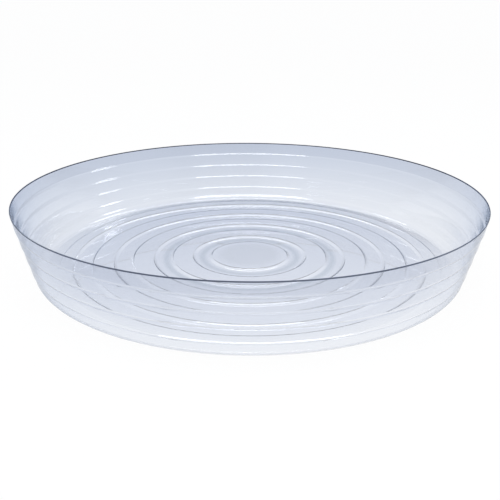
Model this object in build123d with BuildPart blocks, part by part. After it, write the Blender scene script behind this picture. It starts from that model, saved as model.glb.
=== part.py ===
"""A round plant saucer, vacuum-formed in one piece from a sheet of clear vinyl.

Millimetres, +Z up. The origin is below the middle of the floor, on the surface that the saucer stands on.
The sheet is drawn as one line, its lower and outer skin, from the middle of the floor to the rim.
That line is thickened by the sheet and turned about the upright axis, and the rim is trimmed level.
"""

import os
from math import cos, floor, radians, sin, tan

from build123d import *

# Overall sizes
rim_diameter = 406.0
height = 62.9
sheet = 0.5

# Wall: a rounded heel, then leaning bands with a narrow ledge between each two
wall_lean = 9.7
heel_radius = 8.7
heel_runs = 4
foot_band = 5.2
ledge_count = 4
ledge_width = 1.2
ledge_rise = 1.1

# Floor: a plain middle, around it grooves that the saucer stands on, which take the water,
# and a border that dips a little towards the heel
centre_radius = 34.2
groove_depth = 1.5
bed_width = 11.7
flank_run = 3.0
land_width = 17.7
least_border = 6.0
dip_width = 11.2
dip_depth = 0.7

# Levels of the ledges' middles: the lowest clears the heel, and the others are even up to the rim
heel_turn = 90 - wall_lean
heel_base = groove_depth - dip_depth
heel_top = heel_base + heel_radius * (1 - cos(radians(heel_turn)))
lowest_ledge = heel_top + foot_band + ledge_rise / 2
ledge_pitch = (height - lowest_ledge) / ledge_count

# Wall line, worked out from the rim downwards
rim_radius = rim_diameter / 2
lean_slope = tan(radians(wall_lean))


def wall_radius(level, ledges_above):
    """Radius of the outer skin at a level, with this many ledges between it and the rim."""
    leaning_height = height - level - ledges_above * ledge_rise
    return rim_radius - leaning_height * lean_slope - ledges_above * ledge_width


# Both ends of each ledge, from the lowest ledge to the highest
ledge_points = []
for ledge in range(ledge_count):
    lower_level = lowest_ledge + ledge * ledge_pitch - ledge_rise / 2
    upper_level = lower_level + ledge_rise
    ledges_above = ledge_count - ledge - 1
    ledge_points.append((wall_radius(lower_level, ledges_above + 1), lower_level))
    ledge_points.append((wall_radius(upper_level, ledges_above), upper_level))

# The wall runs past the rim by a sheet, which the trim takes off
wall_end = (wall_radius(height + sheet, 0), height + sheet)

# The heel's curve, in short straight runs from the floor to the foot of the wall
border_edge = wall_radius(heel_top, ledge_count) - heel_radius * sin(radians(heel_turn))
heel_points = []
for run in range(heel_runs + 1):
    turn = radians(heel_turn * run / heel_runs)
    heel_level = heel_base + heel_radius * (1 - cos(turn))
    heel_points.append((border_edge + heel_radius * sin(turn), heel_level))

# The border dips from here to the heel
dip_point = (border_edge - dip_width, groove_depth)

# As many grooves as leave a plain border before the dip
groove_width = flank_run + bed_width + flank_run
groove_pitch = groove_width + land_width
groove_room = border_edge - dip_width - least_border - centre_radius + land_width
groove_count = floor(groove_room / groove_pitch)

groove_points = []
for groove in range(groove_count):
    inner_edge = centre_radius + groove * groove_pitch
    outer_edge = inner_edge + groove_width
    groove_points.append((inner_edge, groove_depth))
    groove_points.append((inner_edge + flank_run, 0))
    groove_points.append((outer_edge - flank_run, 0))
    groove_points.append((outer_edge, groove_depth))

# The saucer
with BuildPart() as saucer:
    with BuildSketch(Plane.XZ):
        with BuildLine():
            Polyline((0, groove_depth), *groove_points, dip_point, *heel_points, *ledge_points, wall_end)
            offset(amount=sheet, kind=Kind.INTERSECTION, side=Side.LEFT)
        make_face()
    revolve(axis=Axis.Z)
    split(bisect_by=Plane.XY.offset(height), keep=Keep.BOTTOM)

saucer.part.label = "saucer"
os.makedirs("parts", exist_ok=True)
export_step(saucer.part, "parts/saucer.step")
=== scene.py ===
"""Visual model of a round plant saucer, formed in one piece from a sheet of clear vinyl.

Metres, +Z up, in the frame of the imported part: the saucer stands on the level of the origin.
The saucer's section is drawn as one chain of corners, rounded, spun about the upright axis and thickened.
"""

import logging
from dataclasses import dataclass
from enum import IntEnum
from math import atan, cos, pi, radians, sin, tan
from typing import Any, Iterable

import bmesh
import bpy
from mathutils import Euler, Matrix, Vector


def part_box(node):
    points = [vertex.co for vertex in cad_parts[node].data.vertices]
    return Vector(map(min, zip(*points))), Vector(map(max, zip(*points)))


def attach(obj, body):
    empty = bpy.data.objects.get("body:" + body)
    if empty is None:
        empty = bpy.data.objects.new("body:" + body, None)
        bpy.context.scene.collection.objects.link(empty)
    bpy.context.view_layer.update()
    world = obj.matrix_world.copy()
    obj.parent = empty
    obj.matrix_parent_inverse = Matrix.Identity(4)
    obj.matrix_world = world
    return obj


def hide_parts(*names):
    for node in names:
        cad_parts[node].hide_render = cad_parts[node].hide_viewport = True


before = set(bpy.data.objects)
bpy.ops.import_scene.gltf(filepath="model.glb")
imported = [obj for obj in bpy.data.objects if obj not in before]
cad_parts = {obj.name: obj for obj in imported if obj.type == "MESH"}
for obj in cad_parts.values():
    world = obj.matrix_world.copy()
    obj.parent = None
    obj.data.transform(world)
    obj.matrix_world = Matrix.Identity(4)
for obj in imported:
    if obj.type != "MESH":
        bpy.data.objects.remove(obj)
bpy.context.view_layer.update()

log = logging.getLogger("saucer")

MILLIMETRE = 0.001

Colour = tuple[float, float, float]
Corner = tuple[float, float]


class Reading:
    """A value in a node tree, whose arithmetic adds Math nodes to that tree."""

    def __init__(self, sheet: "NodeSheet", socket: bpy.types.NodeSocket) -> None:
        """Wraps a socket.

        Args:
            sheet: The node tree that the socket belongs to.
            socket: An output that gives a number.
        """
        self.sheet = sheet
        self.socket = socket

    def joined(self, operation: str, first: Any, second: Any) -> "Reading":
        """Adds a Math node.

        Args:
            operation: The Math node's operation.
            first: Its first number or reading.
            second: Its second number or reading.

        Returns:
            The node's result.
        """
        return self.sheet.reading("ShaderNodeMath", {"operation": operation}, {0: first, 1: second})

    def __add__(self, other: Any) -> "Reading":
        """Returns self + other."""
        return self.joined("ADD", self, other)

    __radd__ = __add__

    def __sub__(self, other: Any) -> "Reading":
        """Returns self - other."""
        return self.joined("SUBTRACT", self, other)

    def __rsub__(self, other: Any) -> "Reading":
        """Returns other - self."""
        return self.joined("SUBTRACT", other, self)

    def __mul__(self, other: Any) -> "Reading":
        """Returns self * other."""
        return self.joined("MULTIPLY", self, other)

    __rmul__ = __mul__

    def larger(self, other: Any) -> "Reading":
        """Returns the larger of the two."""
        return self.joined("MAXIMUM", self, other)

    def over(self, other: Any) -> "Reading":
        """Returns 1 where this value is greater, otherwise 0."""
        return self.joined("GREATER_THAN", self, other)

    def size(self) -> "Reading":
        """Returns the value without its sign."""
        return self.joined("ABSOLUTE", self, 0.0)

    def between(self, start: float, end: float) -> "Reading":
        """Eases from 0 to 1 as this value goes from one end of a span to the other.

        Args:
            start: The value that gives 0.
            end: The value that gives 1.

        Returns:
            The eased share.
        """
        settings = {"interpolation_type": "SMOOTHSTEP"}
        span = {"Value": self, "From Min": start, "From Max": end}
        return self.sheet.reading("ShaderNodeMapRange", settings, span)


class NodeSheet:
    """A node tree that is filled in one node at a time."""

    def __init__(self, tree: bpy.types.NodeTree) -> None:
        """Empties a tree.

        Args:
            tree: The tree of a material or world.
        """
        self.tree = tree
        tree.nodes.clear()

    def node(self, kind: str, settings: dict[str, Any], sockets: dict[Any, Any]) -> bpy.types.Node:
        """Adds a node.

        Args:
            kind: The node's type.
            settings: Its own settings, which are set first.
            sockets: A number, colour, reading or output for each named or numbered input.

        Returns:
            The node.
        """
        made = self.tree.nodes.new(kind)
        for name, value in settings.items():
            if name == "stops":
                self.set_stops(made.color_ramp, value)
            else:
                setattr(made, name, value)
        for name, value in sockets.items():
            if isinstance(value, Reading):
                self.tree.links.new(value.socket, made.inputs[name])
            elif isinstance(value, bpy.types.NodeSocket):
                self.tree.links.new(value, made.inputs[name])
            else:
                made.inputs[name].default_value = value
        return made

    @staticmethod
    def set_stops(ramp: bpy.types.ColorRamp, stops: list[tuple[float, Colour]]) -> None:
        """Sets a ramp's colours.

        Args:
            ramp: The ramp of a Color Ramp node.
            stops: A position and a colour for each stop, in order.
        """
        while len(ramp.elements) < len(stops):
            ramp.elements.new(1.0)
        for element, (position, colour) in zip(ramp.elements, stops):
            element.position = position
            element.color = opaque(colour)

    def reading(
        self,
        kind: str,
        settings: dict[str, Any],
        sockets: dict[Any, Any],
        output: Any = 0,
    ) -> Reading:
        """Adds a node and reads one of its outputs.

        Args:
            kind: The node's type.
            settings: Its own settings.
            sockets: Its inputs.
            output: The output's name or number.

        Returns:
            That output as a reading.
        """
        return Reading(self, self.node(kind, settings, sockets).outputs[output])

    def place(self) -> bpy.types.NodeSocket:
        """Returns the point on the piece, in its own coordinates."""
        return self.node("ShaderNodeTexCoord", {}, {}).outputs["Object"]

    def direction(self) -> bpy.types.NodeSocket:
        """Returns the direction that a ray leaves the scene in."""
        return self.node("ShaderNodeTexCoord", {}, {}).outputs["Generated"]

    def noise(self, place: bpy.types.NodeSocket, scale: float, detail: float) -> Reading:
        """Adds soft cloudy variation.

        Args:
            place: The point that it is read at.
            scale: How many clouds there are to a metre.
            detail: How many finer layers it has.

        Returns:
            A value from 0 to 1, mostly near a half.
        """
        sockets = {"Vector": place, "Scale": scale, "Detail": detail}
        return self.reading("ShaderNodeTexNoise", {}, sockets, "Fac")

    def distance(self, place: bpy.types.NodeSocket, other: Any) -> Reading:
        """Measures the distance between two points.

        Args:
            place: An output that gives a point.
            other: A point or an output.

        Returns:
            The distance.
        """
        settings = {"operation": "DISTANCE"}
        return self.reading("ShaderNodeVectorMath", settings, {0: place, 1: other}, "Value")

    def radius(self, place: bpy.types.NodeSocket) -> Reading:
        """Measures how far a point is from the upright axis.

        Args:
            place: An output that gives a point.

        Returns:
            Its radius.
        """
        settings = {"operation": "MULTIPLY"}
        level_place = self.node("ShaderNodeVectorMath", settings, {0: place, 1: (1, 1, 0)})
        return self.distance(level_place.outputs[0], (0, 0, 0))

    def blend(self, share: Any, first: Any, second: Any) -> bpy.types.NodeSocket:
        """Mixes two colours.

        Args:
            share: How much of the second colour there is.
            first: A colour or an output.
            second: A colour or an output.

        Returns:
            The mixed colour.
        """
        settings = {"data_type": "RGBA", "clamp_factor": True}
        return self.node("ShaderNodeMix", settings, {0: share, 6: first, 7: second}).outputs[2]

    def finish(self, kind: str, surface: bpy.types.Node) -> None:
        """Adds the output.

        Args:
            kind: The output node's type.
            surface: The shader that it shows.
        """
        self.node(kind, {}, {"Surface": surface.outputs[0]})


def new_material(name: str) -> tuple[bpy.types.Material, NodeSheet]:
    """Makes an empty material.

    Args:
        name: Its name.

    Returns:
        The material, and its tree to fill in.
    """
    material = bpy.data.materials.new(name)
    material.use_nodes = True
    return material, NodeSheet(material.node_tree)


def opaque(colour: Colour) -> tuple[float, float, float, float]:
    """Returns a colour with a full fourth value."""
    return (*colour, 1.0)


class Skin(IntEnum):
    """The saucer's material slots."""

    SHEET = 0
    CUT_EDGE = 1


@dataclass(frozen=True)
class ClearVinyl:
    """Clear vinyl with a blue cast, lighter where it was drawn thinner and darker in the middle of the
    floor, with painted shade in the groove bottoms and where the sheet is seen at a low angle.
    """

    floor_tint: Colour = (0.84, 0.87, 0.94)
    border_tint: Colour = (0.92, 0.935, 0.965)
    foot_tint: Colour = (0.965, 0.975, 0.99)
    rim_tint: Colour = (0.80, 0.82, 0.865)
    # Painted shade for the groove bottoms, where they touch the floor.
    contact_shade_tint: Colour = (0.70, 0.745, 0.82)
    middle_tint: Colour = (0.775, 0.805, 0.87)
    # Darkening by viewing angle: the slant tint is partly the longer path through the tinted sheet and
    # partly painted shade; the grazing tint is painted shade.
    slant_shade_tint: Colour = (0.68, 0.745, 0.87)
    grazing_shade_tint: Colour = (0.34, 0.41, 0.55)
    slant_shade_span: tuple[float, float] = (0.4, 0.95)
    grazing_shade_span: tuple[float, float] = (0.72, 0.88)
    wall_shares: tuple[float, float] = (0.2, 0.7)
    middle_share: float = 0.6
    step_share: float = 0.42
    refraction: float = 1.53
    clearness: float = 1.0
    smoothest: float = 0.0
    roughest: float = 0.03
    wall_haze: float = 0.02
    cloud_scale: float = 14.0
    cloud_detail: float = 3.0
    ripple_scale: float = 60.0
    ripple_depth: float = 0.004 * MILLIMETRE

    def material(
        self,
        levels: tuple[float, float, float],
        middle: float,
        border: tuple[float, float],
        beds: tuple[float, ...],
        shade_band_width: float,
    ) -> bpy.types.Material:
        """Makes the sheet's material.

        Args:
            levels: Heights of the heel's top, of the highest ledge and of the rim.
            middle: Radius of the plain middle of the floor.
            border: Radii between which the floor's tint gets lighter towards the heel.
            beds: Radii of the groove bottoms that get a band of painted shade.
            shade_band_width: Width of that band of painted shade.

        Returns:
            The material.
        """
        material, sheet = new_material("clear_vinyl")
        place = sheet.place()
        level = sheet.reading("ShaderNodeSeparateXYZ", {}, {0: place}, "Z")
        radius = sheet.radius(place)
        clouds = sheet.noise(place, self.cloud_scale, self.cloud_detail)

        heel_level, ledge_level, rim_level = levels
        raised = level.between(*(share * heel_level for share in self.wall_shares))
        drawn = level.between(heel_level, rim_level) * (1 - self.step_share)
        climbed = level.over(ledge_level) * self.step_share + drawn
        wall_tint = sheet.blend(climbed, opaque(self.foot_tint), opaque(self.rim_tint))
        lighter = radius.between(*border)
        floor_tint = sheet.blend(lighter, opaque(self.floor_tint), opaque(self.border_tint))
        tint = sheet.blend(raised, floor_tint, wall_tint)
        # Painted shade: a soft darker band along the bottom of each listed groove, where it touches the
        # floor.
        for bed in beds:
            bed_shade = (radius - bed).size().between(shade_band_width / 2, 0.0)
            tint = sheet.blend(bed_shade, tint, opaque(self.contact_shade_tint))
        plain = radius.between(middle, self.middle_share * middle)
        tint = sheet.blend(plain, tint, opaque(self.middle_tint))
        # Walls seen at a low angle are darkened, partly for the longer path through the tinted sheet and
        # partly as painted shade. Where the sheet is seen nearly edge-on it gets painted dark lines and
        # bands, shade standing for light bent away in the creases and slopes.
        facing = sheet.reading("ShaderNodeLayerWeight", {}, {"Blend": 0.5}, "Facing")
        slant_shaded = facing.between(*self.slant_shade_span) * raised
        tint = sheet.blend(slant_shaded, tint, opaque(self.slant_shade_tint))
        tint = sheet.blend(facing.between(*self.grazing_shade_span), tint, opaque(self.grazing_shade_tint))

        ripples = sheet.noise(place, self.ripple_scale, 0.0)
        uneven = sheet.node(
            "ShaderNodeBump",
            {},
            {"Strength": 1.0, "Distance": self.ripple_depth, "Height": ripples},
        )
        clouded = self.smoothest + clouds * (self.roughest - self.smoothest)
        surface = sheet.node(
            "ShaderNodeBsdfPrincipled",
            {},
            {
                "Base Color": tint,
                "Roughness": clouded + raised * self.wall_haze,
                "IOR": self.refraction,
                "Transmission Weight": self.clearness,
                "Normal": uneven.outputs[0],
            },
        )
        sheet.finish("ShaderNodeOutputMaterial", surface)
        return material


@dataclass(frozen=True)
class CutEdge:
    """The trimmed edge of the sheet and a narrow band of wall below it, painted near-black as shade for
    the light caught inside the edge.
    """

    dark: Colour = (0.008, 0.012, 0.036)
    light: Colour = (0.115, 0.135, 0.185)
    turn: float = 0.12
    patchy: float = 0.25
    patch_scale: float = 9.0
    patch_detail: float = 2.0
    patch_span: tuple[float, float] = (0.4, 0.65)
    roughness: float = 0.35

    def material(self) -> bpy.types.Material:
        """Returns the edge's material."""
        material, sheet = new_material("cut_edge")
        place = sheet.place()
        patches = sheet.noise(place, self.patch_scale, self.patch_detail).between(*self.patch_span)
        # Painted light and shade: the edge is painted lighter towards the front (-Y) and darker towards
        # the back, with random patches.
        depth = sheet.reading("ShaderNodeSeparateXYZ", {}, {0: place}, "Y")
        front_lightening = depth.between(self.turn, -self.turn)
        share = patches * self.patchy + front_lightening * (1 - self.patchy)
        colour = sheet.blend(share, opaque(self.dark), opaque(self.light))
        surface = sheet.node(
            "ShaderNodeBsdfPrincipled",
            {},
            {"Base Color": colour, "Roughness": self.roughness},
        )
        sheet.finish("ShaderNodeOutputMaterial", surface)
        return material


@dataclass
class Saucer:
    """The saucer: a floor with grooves, a rounded heel, a stepped wall and a trimmed rim."""

    rim_radius: float
    height: float
    sheet: float = 0.5 * MILLIMETRE
    wall_lean: float = radians(10.17)
    heel_radius: float = 8.7 * MILLIMETRE
    foot_band: float = 5.2 * MILLIMETRE
    ledge_count: int = 4
    ledge_width: float = 1.2 * MILLIMETRE
    ledge_rise: float = 1.7 * MILLIMETRE
    centre_radius: float = 34.2 * MILLIMETRE
    groove_count: int = 4
    groove_depth: float = 1.5 * MILLIMETRE
    groove_width: float = 17.7 * MILLIMETRE
    land_width: float = 17.7 * MILLIMETRE
    dip_width: float = 11.2 * MILLIMETRE
    dip_depth: float = 1.35 * MILLIMETRE
    flank_slope: float = radians(45)
    foot_round: float = 2.0 * MILLIMETRE
    crease_round: float = 0.08 * MILLIMETRE
    step_width: float = 0.9 * MILLIMETRE
    step_depth: float = 0.45 * MILLIMETRE
    step_round: float = 0.4 * MILLIMETRE
    ledge_round: float = 0.8 * MILLIMETRE
    edge_band: float = 1.0 * MILLIMETRE
    # Radii and width of the bands of painted shade in the groove bottoms.
    shaded_rings: tuple[float, ...] = (43.1 * MILLIMETRE, 75.8 * MILLIMETRE)
    shaded_ring_width: float = 11.0 * MILLIMETRE
    turns: int = 320
    heel_segments: int = 10
    foot_segments: int = 5
    crease_segments: int = 3
    step_segments: int = 3
    ledge_segments: int = 4
    foot_share: float = 0.98
    merge_distance: float = 0.001 * MILLIMETRE
    flat_weight: int = 100

    @property
    def heel_turn(self) -> float:
        """The angle that the heel turns through, from floor to wall."""
        return pi / 2 - self.wall_lean

    @property
    def heel_top(self) -> float:
        """Height at which the heel meets the wall."""
        return self.groove_depth - self.dip_depth + self.heel_radius * (1 - cos(self.heel_turn))

    @property
    def heel_foot(self) -> float:
        """Radius at which the heel leaves the floor."""
        return self.wall_radius(self.heel_top, self.ledge_count) - self.heel_radius * sin(self.heel_turn)

    @property
    def dip_slope(self) -> float:
        """Fall of the border from its step to the heel."""
        return (self.dip_depth - self.step_depth) / (self.dip_width - self.step_width)

    def wall_radius(self, level: float, ledges_above: int) -> float:
        """Radius of the wall's outer skin.

        Args:
            level: Height above the base.
            ledges_above: How many ledges there are between that height and the rim.

        Returns:
            The radius there.
        """
        leaning_height = self.height - level - ledges_above * self.ledge_rise
        return self.rim_radius - leaning_height * tan(self.wall_lean) - ledges_above * self.ledge_width

    def groove_edges(self, groove: int) -> tuple[float, float]:
        """Radii of a groove's edges.

        Args:
            groove: The groove's number, counted outwards from 0.

        Returns:
            Its inner and outer radius.
        """
        inner = self.centre_radius + groove * (self.groove_width + self.land_width)
        return inner, inner + self.groove_width

    def heel_corner(self) -> Corner:
        """Returns the point where the border's dip and the lowest band of the wall would meet."""
        dip_slope = self.dip_slope
        wall_slope = tan(self.wall_lean)
        wall_base = self.wall_radius(0.0, self.ledge_count)
        dip_base = self.groove_depth - self.dip_depth + dip_slope * self.heel_foot
        radius = (wall_base + wall_slope * dip_base) / (1 + wall_slope * dip_slope)
        return radius, dip_base - dip_slope * radius

    def ledge_corners(self, ledge: int) -> list[Corner]:
        """Corners of a ledge's section.

        Args:
            ledge: The ledge's number, counted upwards from 0.

        Returns:
            Its lower and upper corner.
        """
        lowest = self.heel_top + self.foot_band
        pitch = (self.height - lowest - self.ledge_rise / 2) / self.ledge_count
        lower = lowest + ledge * pitch
        upper = lower + self.ledge_rise
        above = self.ledge_count - ledge - 1
        return [(self.wall_radius(lower, above + 1), lower), (self.wall_radius(upper, above), upper)]

    def section(self, mesh: bmesh.types.BMesh) -> None:
        """Draws the lower and outer skin as one chain of rounded corners.

        Args:
            mesh: The mesh that it is drawn in.
        """
        creases, feet, steps, heel, ledges = [], [], [], [], []
        chain = [mesh.verts.new((0, 0, self.groove_depth))]

        def draw(corners: Iterable[Corner], kept: list[bmesh.types.BMVert]) -> None:
            """Adds corners to the chain, and keeps them to be rounded together."""
            for radius, level in corners:
                corner = mesh.verts.new((radius, 0, level))
                chain.append(corner)
                kept.append(corner)

        flank_run = self.groove_depth / tan(self.flank_slope)
        for groove in range(self.groove_count):
            inner, outer = self.groove_edges(groove)
            draw([(inner, self.groove_depth)], creases)
            draw([(inner + flank_run, 0), (outer - flank_run, 0)], feet)
            draw([(outer, self.groove_depth)], creases)
        border = self.heel_foot - self.dip_width
        step_foot = (border + self.step_width, self.groove_depth - self.step_depth)
        draw([(border, self.groove_depth), step_foot], steps)
        draw([self.heel_corner()], heel)
        for ledge in range(self.ledge_count):
            draw(self.ledge_corners(ledge), ledges)
        edge_start = self.height - self.edge_band
        draw([(self.wall_radius(level, 0), level) for level in (edge_start, self.height + self.sheet)], [])
        for start, end in zip(chain, chain[1:]):
            mesh.edges.new((start, end))

        whole_turn = self.heel_turn + atan(self.dip_slope)
        heel_reach = self.heel_radius * tan(whole_turn / 2)
        flank = self.groove_depth / sin(self.flank_slope)
        foot_reach = min(self.foot_round, self.foot_share * (flank - self.crease_round))
        for corners, reach, segments in (
            (heel, heel_reach, self.heel_segments),
            (feet, foot_reach, self.foot_segments),
            (creases, self.crease_round, self.crease_segments),
            (steps, self.step_round, self.step_segments),
            (ledges, self.ledge_round, self.ledge_segments),
        ):
            bmesh.ops.bevel(
                mesh,
                geom=corners,
                offset=reach,
                offset_type="OFFSET",
                segments=segments,
                profile=0.5,
                affect="VERTICES",
                material=-1,
            )

    def build(self) -> bpy.types.Object:
        """Makes the saucer's mesh.

        Returns:
            The piece.
        """
        mesh = bmesh.new()
        self.section(mesh)
        bmesh.ops.spin(
            mesh,
            geom=mesh.verts[:] + mesh.edges[:],
            cent=(0, 0, 0),
            axis=(0, 0, 1),
            angle=2 * pi,
            steps=self.turns,
            use_merge=True,
        )
        bmesh.ops.remove_doubles(mesh, verts=mesh.verts, dist=self.merge_distance)
        bmesh.ops.recalc_face_normals(mesh, faces=mesh.faces)
        mesh.normal_update()
        lowest = min(mesh.faces, key=lambda face: face.calc_center_median().length)
        if lowest.normal.z > 0:
            bmesh.ops.reverse_faces(mesh, faces=mesh.faces)
        bmesh.ops.solidify(mesh, geom=mesh.faces[:], thickness=self.sheet)
        self.trim(mesh)
        for face in mesh.faces:
            face.smooth = True
            # The cut edge's painted near-black shade also covers both skins for a narrow band below the
            # rim.
            if face.calc_center_median().z > self.height - self.edge_band:
                face.material_index = Skin.CUT_EDGE
        data = bpy.data.meshes.new("saucer_sheet")
        mesh.to_mesh(data)
        mesh.free()
        piece = bpy.data.objects.new("saucer_sheet", data)
        bpy.context.scene.collection.objects.link(piece)
        even = piece.modifiers.new("true_flats", "WEIGHTED_NORMAL")
        even.weight = self.flat_weight
        return piece

    def trim(self, mesh: bmesh.types.BMesh) -> None:
        """Cuts the rim level and closes the cut.

        Args:
            mesh: The thickened sheet, which runs past the rim.
        """
        cut = bmesh.ops.bisect_plane(
            mesh,
            geom=mesh.verts[:] + mesh.edges[:] + mesh.faces[:],
            plane_co=(0, 0, self.height),
            plane_no=(0, 0, 1),
            clear_outer=True,
        )
        rims = [edge for edge in cut["geom_cut"] if isinstance(edge, bmesh.types.BMEdge)]
        bmesh.ops.bridge_loops(mesh, edges=rims)

    def dress(self, piece: bpy.types.Object, vinyl: ClearVinyl, edge: CutEdge) -> None:
        """Gives the piece its materials and its place in the part.

        Args:
            piece: The saucer's object.
            vinyl: The finish of the sheet.
            edge: The finish of the trimmed edge.
        """
        highest_ledge = self.ledge_corners(self.ledge_count - 1)[1][1]
        sheet = vinyl.material(
            levels=(self.heel_top, highest_ledge, self.height),
            middle=self.centre_radius,
            border=(self.groove_edges(self.groove_count - 1)[0], self.heel_foot),
            beds=self.shaded_rings,
            shade_band_width=self.shaded_ring_width,
        )
        piece.data.materials.append(sheet)
        piece.data.materials.append(edge.material())
        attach(piece, "root")
        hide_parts("saucer")


@dataclass
class Softbox:
    """An oblong lamp with a soft face."""

    name: str
    place: Vector
    width: float
    depth: float
    power: float

    def build(self) -> bpy.types.Object:
        """Makes the lamp, aimed at the saucer.

        Returns:
            The lamp.
        """
        data = bpy.data.lights.new(self.name, "AREA")
        data.shape = "RECTANGLE"
        data.size = self.width
        data.size_y = self.depth
        data.energy = self.power
        lamp = bpy.data.objects.new(self.name, data)
        lamp.location = self.place
        lamp.rotation_euler = (-self.place).to_track_quat("-Z", "Y").to_euler()
        bpy.context.scene.collection.objects.link(lamp)
        return lamp


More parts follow.
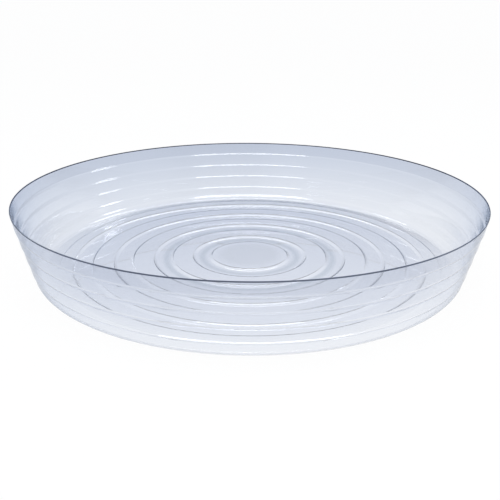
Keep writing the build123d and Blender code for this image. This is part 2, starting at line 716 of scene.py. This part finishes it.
@dataclass
class Studio:
    """The floor, the lamps and the surroundings."""

    floor_size: float = 200.0
    floor_colour: Colour = (0.9, 0.9, 0.9)
    floor_drop: float = 0.1 * MILLIMETRE
    seen_glow: float = 0.97
    passed_glow: float = 0.99
    plain_white: Colour = (1.0, 1.0, 1.0)
    # The painted fall-off of the floor's glow, as seen through and in the saucer.
    far_painted_glow: Colour = (0.70, 0.75, 0.845)
    brightest: tuple[float, float, float] = (0.13, -0.24, 0.0)
    far_span: tuple[float, float] = (0.05, 0.75)
    dusk: Colour = (0.30, 0.34, 0.42)
    dusk_span: tuple[float, float] = (0.6, 2.0)
    room: tuple[tuple[float, Colour], ...] = (
        (0.0, (0.30, 0.34, 0.42)),
        (4.0, (0.15, 0.18, 0.27)),
        (9.0, (0.10, 0.13, 0.22)),
        (12.0, (0.14, 0.175, 0.27)),
        (16.0, (0.28, 0.34, 0.48)),
        (22.0, (0.33, 0.39, 0.53)),
        (26.0, (0.50, 0.55, 0.66)),
        (32.0, (0.60, 0.645, 0.74)),
        (45.0, (0.62, 0.665, 0.75)),
        (70.0, (0.66, 0.70, 0.78)),
    )
    side_glow: Colour = (0.40, 0.46, 0.58)
    left_span: tuple[float, float] = (0.0, -0.35)
    right_span: tuple[float, float] = (0.6, 0.95)
    low_span: tuple[float, float] = (0.45, 0.25)
    lamps: tuple[Softbox, ...] = (
        Softbox(name="overhead", place=Vector((0, -0.30, 0.90)), width=0.8, depth=0.45, power=6.0),
        Softbox(name="right_low", place=Vector((1.0, 0.25, 0.70)), width=0.30, depth=0.20, power=1.2),
        Softbox(name="rear_high", place=Vector((0.05, 0.85, 1.05)), width=0.8, depth=0.25, power=2.2),
    )

    def floor(self) -> None:
        """Lays the pale floor under the saucer, plain white to the camera; the glow that the saucer shows
        through and in reflections is painted light, fading from white at the front right to blue-grey and
        then dusk further off.
        """
        mesh = bmesh.new()
        bmesh.ops.create_grid(mesh, x_segments=1, y_segments=1, size=self.floor_size / 2)
        data = bpy.data.meshes.new("floor")
        mesh.to_mesh(data)
        mesh.free()
        floor = bpy.data.objects.new("floor", data)
        floor.location = (0, 0, -self.floor_drop)
        bpy.context.scene.collection.objects.link(floor)
        material, sheet = new_material("floor")
        lit = sheet.node("ShaderNodeBsdfDiffuse", {}, {"Color": opaque(self.floor_colour)})
        path = sheet.node("ShaderNodeLightPath", {}, {}).outputs
        seen = Reading(sheet, path["Is Camera Ray"])
        passed = Reading(sheet, path["Is Transmission Ray"]).larger(Reading(sheet, path["Is Glossy Ray"]))
        share = seen * self.seen_glow + passed * self.passed_glow
        # Painted light: an uneven pool of glow, brightest near the front right and fading to blue-grey and
        # then to dusk far off, shown only through and in the saucer.
        place = sheet.place()
        faded = sheet.distance(place, self.brightest).between(*self.far_span)
        white = sheet.blend(faded, opaque(self.plain_white), opaque(self.far_painted_glow))
        dusky = sheet.distance(place, (0, 0, 0)).between(*self.dusk_span)
        white = sheet.blend(dusky, white, opaque(self.dusk))
        white = sheet.blend(seen, white, opaque(self.plain_white))
        glow = sheet.node("ShaderNodeEmission", {}, {"Color": white, "Strength": 1.0})
        surface = sheet.node("ShaderNodeMixShader", {}, {0: share, 1: lit.outputs[0], 2: glow.outputs[0]})
        sheet.finish("ShaderNodeOutputMaterial", surface)
        data.materials.append(material)

    def surroundings(self) -> None:
        """Sets the room's light, dim along the horizon and brighter overhead."""
        world = bpy.data.worlds.new("room")
        world.use_nodes = True
        sheet = NodeSheet(world.node_tree)
        parts = sheet.node("ShaderNodeSeparateXYZ", {}, {0: sheet.direction()}).outputs
        upward = Reading(sheet, parts["Z"])
        across = Reading(sheet, parts["X"])
        stops = [(sin(radians(angle)), colour) for angle, colour in self.room]
        colour = sheet.node("ShaderNodeValToRGB", {"stops": stops}, {"Fac": upward}).outputs["Color"]
        beside = across.between(*self.left_span).larger(across.between(*self.right_span))
        low = upward.between(*self.low_span)
        colour = sheet.blend(beside * low, colour, opaque(self.side_glow))
        surface = sheet.node("ShaderNodeBackground", {}, {"Color": colour, "Strength": 1.0})
        sheet.finish("ShaderNodeOutputWorld", surface)
        bpy.context.scene.world = world

    def build(self) -> None:
        """Makes the floor, the lamps and the surroundings."""
        self.floor()
        self.surroundings()
        for lamp in self.lamps:
            lamp.build()


@dataclass
class Camera:
    """The camera, which looks at the middle of the saucer's floor."""

    rim_radius: float
    target_level: float
    distance_share: float = 3.065
    elevation: float = radians(21.22)
    roll: float = radians(0.34)
    lens: float = 48.66
    sensor: float = 36.0
    shift: Corner = (0.001, 0.0096)
    clip_end: float = 100.0

    @property
    def distance(self) -> float:
        """Distance from the camera to its target."""
        return self.distance_share * self.rim_radius

    def build(self) -> bpy.types.Object:
        """Makes the camera and looks through it.

        Returns:
            The camera.
        """
        data = bpy.data.cameras.new("camera")
        data.lens = self.lens
        data.sensor_width = self.sensor
        data.shift_x, data.shift_y = self.shift
        data.clip_end = self.clip_end
        camera = bpy.data.objects.new("camera", data)
        turn = Euler((pi / 2 - self.elevation, 0, 0)).to_matrix() @ Matrix.Rotation(self.roll, 3, "Z")
        camera.rotation_euler = turn.to_euler()
        level = self.target_level + self.distance * sin(self.elevation)
        camera.location = (0, -self.distance * cos(self.elevation), level)
        bpy.context.scene.collection.objects.link(camera)
        bpy.context.scene.camera = camera
        return camera


def write_sizes() -> None:
    """Updates the scene's view layer."""
    bpy.context.view_layer.update()


def main() -> None:
    """Builds the saucer, the studio and the camera."""
    logging.basicConfig(level=logging.INFO)
    low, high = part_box("saucer")
    saucer = Saucer(rim_radius=(high[0] - low[0]) / 2, height=high[2] - low[2])
    Camera(rim_radius=saucer.rim_radius, target_level=saucer.groove_depth).build()
    piece = saucer.build()
    saucer.dress(piece, ClearVinyl(), CutEdge())
    log.info("%s: %d faces", piece.name, len(piece.data.polygons))
    Studio().build()
    bpy.context.scene.view_settings.view_transform = "Standard"
    write_sizes()


if __name__ == "__main__":
    main()
